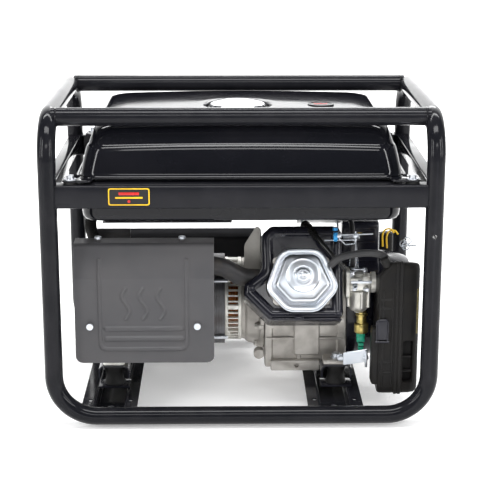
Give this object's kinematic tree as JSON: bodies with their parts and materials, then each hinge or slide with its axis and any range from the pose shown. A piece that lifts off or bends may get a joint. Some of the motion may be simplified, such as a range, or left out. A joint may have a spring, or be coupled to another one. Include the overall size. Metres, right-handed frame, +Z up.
{
  "type": "portable generator",
  "caption": "Open-frame petrol generator: tube frame, top fuel tank, slanted single-cylinder engine, alternator, shielded muffler, air cleaner and socket panel.",
  "frame": {"origin": "on the floor under the middle of the tube frame", "axes": "+Z up; -Y is the muffler side; +X is the recoil starter end; the alternator is towards -X"},
  "size_m": [0.7, 0.512, 0.572],
  "materials": {
    "frame_paint": "gloss black powder coat",
    "tank_paint": "gloss black enamel",
    "shield_paint": "satin heat-resistant dark grey",
    "black_sheet": "semi-gloss black sheet metal",
    "black_plastic": "satin moulded black",
    "gloss_plastic": "gloss moulded black",
    "cast_aluminium": "sand cast, lightly blasted",
    "bell_aluminium": "die cast, pale",
    "zinc": "bright zinc plate",
    "cap_chrome": "bright plate",
    "rubber": "matt moulded rubber",
    "hose_rubber": "matt grey-black hose",
    "exhaust_steel": "matt heat-resistant grey-black",
    "machined_steel": "machined",
    "laminations": "stacked sheet edges",
    "cast_iron": "as cast",
    "brass": "yellow passivated",
    "filter_foam": "oiled foam",
    "panel_paint": "textured black",
    "rope": "braided nylon"
  },
  "bodies": {
    "frame": {"muffler_side_hoop": "frame_paint", "panel_side_hoop": "frame_paint", "top_tubes": "frame_paint", "muffler_side_tank_rail": "frame_paint", "panel_side_tank_rail": "frame_paint", "alternator_end_tank_rail": "frame_paint", "engine_end_tank_rail": "frame_paint", "engine_cross_rail": "frame_paint", "alternator_cross_rail": "frame_paint", "rubber_feet": "rubber", "rubber_mounts": "rubber", "mount_brackets": "black_sheet", "bolts": "zinc", "tank_lower_shell": "tank_paint", "tank_upper_shell": "tank_paint", "tank_heat_shield": "black_sheet", "fuel_cock": "zinc", "fuel_hose": "hose_rubber", "crankcase": "cast_aluminium", "crankcase_cover": "cast_aluminium", "cylinder_head": "cast_aluminium", "rocker_cover": "zinc", "cylinder_shroud": "black_sheet", "fan_housing": "black_sheet", "recoil_cover": "black_sheet", "stator_core": "laminations", "alternator_front_bell": "bell_aluminium", "alternator_end_bell": "bell_aluminium", "spark_plug_cap": "hose_rubber", "carburettor": "bell_aluminium", "fuel_solenoid": "brass", "control_bracket": "zinc", "air_cleaner_case": "gloss_plastic", "air_cleaner_cover": "black_plastic", "air_filter_element": "filter_foam", "breather_hose": "hose_rubber", "exhaust_pipe": "exhaust_steel", "muffler": "exhaust_steel", "muffler_heat_shield": "shield_paint", "wiring_conduit": "black_plastic", "panel_box": "panel_paint", "panel_face": "panel_paint", "sockets": "gloss_plastic", "voltmeter": "gloss_plastic"},
    "crank": {"crankshaft": "machined_steel", "flywheel": "cast_iron", "rotor": "laminations"},
    "piston": {"piston": "bell_aluminium"},
    "starter_grip": {"starter_handle": "black_plastic", "starter_rope": "rope"},
    "recoil_reel": {"recoil_reel": "black_plastic"},
    "fuel_cap_insert": {"fuel_cap_insert": "black_plastic"},
    "fuel_cap": {"fuel_cap": "cap_chrome"},
    "fuel_cock_lever": {"fuel_cock_lever": "black_plastic"},
    "choke_lever": {"choke_lever": "black_plastic"},
    "governor_lever": {"governor_lever": "zinc"},
    "air_cleaner_clip": {"air_cleaner_clip": "gloss_plastic"},
    "dipstick": {"oil_filler_cap": "black_plastic"},
    "breaker_lever": {"breaker_lever": "black_plastic"},
    "engine_switch": {"engine_switch": "black_plastic"}
  },
  "joints": [
    {"name": "crank_spin", "type": "hinge", "parent": "frame", "child": "crank", "pos_m": [0, 0.01, 0.165], "axis": [1, 0, 0], "continuous": true},
    {"name": "piston_stroke", "type": "slide", "parent": "frame", "child": "piston", "axis": [0, -0.8988, 0.4384], "range_m": [0, 0.064]},
    {"name": "starter_pull", "type": "slide", "parent": "frame", "child": "starter_grip", "axis": [0, 1, 0], "range_m": [0, 0.8], "stiffness_N_per_m": 15, "springref_m": -0.3},
    {"name": "reel_spin", "type": "hinge", "parent": "frame", "child": "recoil_reel", "pos_m": [0.292, 0.01, 0.165], "axis": [1, 0, 0], "range_deg": [-870, 0]},
    {"name": "fuel_cap_lift", "type": "slide", "parent": "frame", "child": "fuel_cap_insert", "axis": [0, 0, 1], "range_m": [0, 0.06]},
    {"name": "fuel_cap_turn", "type": "hinge", "parent": "fuel_cap_insert", "child": "fuel_cap", "pos_m": [-0.005, 0, 0.545], "axis": [0, 0, 1], "range_deg": [0, 90]},
    {"name": "fuel_cock_turn", "type": "hinge", "parent": "frame", "child": "fuel_cock_lever", "pos_m": [0.15, 0.127, 0.352], "axis": [0, 1, 0], "range_deg": [0, 90]},
    {"name": "choke_turn", "type": "hinge", "parent": "frame", "child": "choke_lever", "pos_m": [0.226, -0.132, 0.262], "axis": [0, 0, 1], "range_deg": [0, 70]},
    {"name": "governor_swing", "type": "hinge", "parent": "frame", "child": "governor_lever", "pos_m": [0.21, -0.076, 0.24], "axis": [1, 0, 0], "range_deg": [-12, 12], "stiffness_Nm_per_rad": 0.2},
    {"name": "clip_swing", "type": "hinge", "parent": "frame", "child": "air_cleaner_clip", "pos_m": [0.253, -0.2024, 0.146], "axis": [1, 0, 0], "range_deg": [0, 100]},
    {"name": "dipstick_draw", "type": "slide", "parent": "frame", "child": "dipstick", "axis": [0, 1, 0], "range_m": [0, 0.09]},
    {"name": "breaker_flip", "type": "hinge", "parent": "frame", "child": "breaker_lever", "pos_m": [-0.142, 0.2464, 0.198], "axis": [1, 0, 0], "range_deg": [-60, 0]},
    {"name": "switch_turn", "type": "hinge", "parent": "frame", "child": "engine_switch", "pos_m": [-0.02, 0.245, 0.198], "axis": [0, 1, 0], "range_deg": [0, 60]}
  ],
  "couplings": [
    {"joint": "reel_spin", "follows": "starter_pull", "rad_per_m": -18.87}
  ]
}
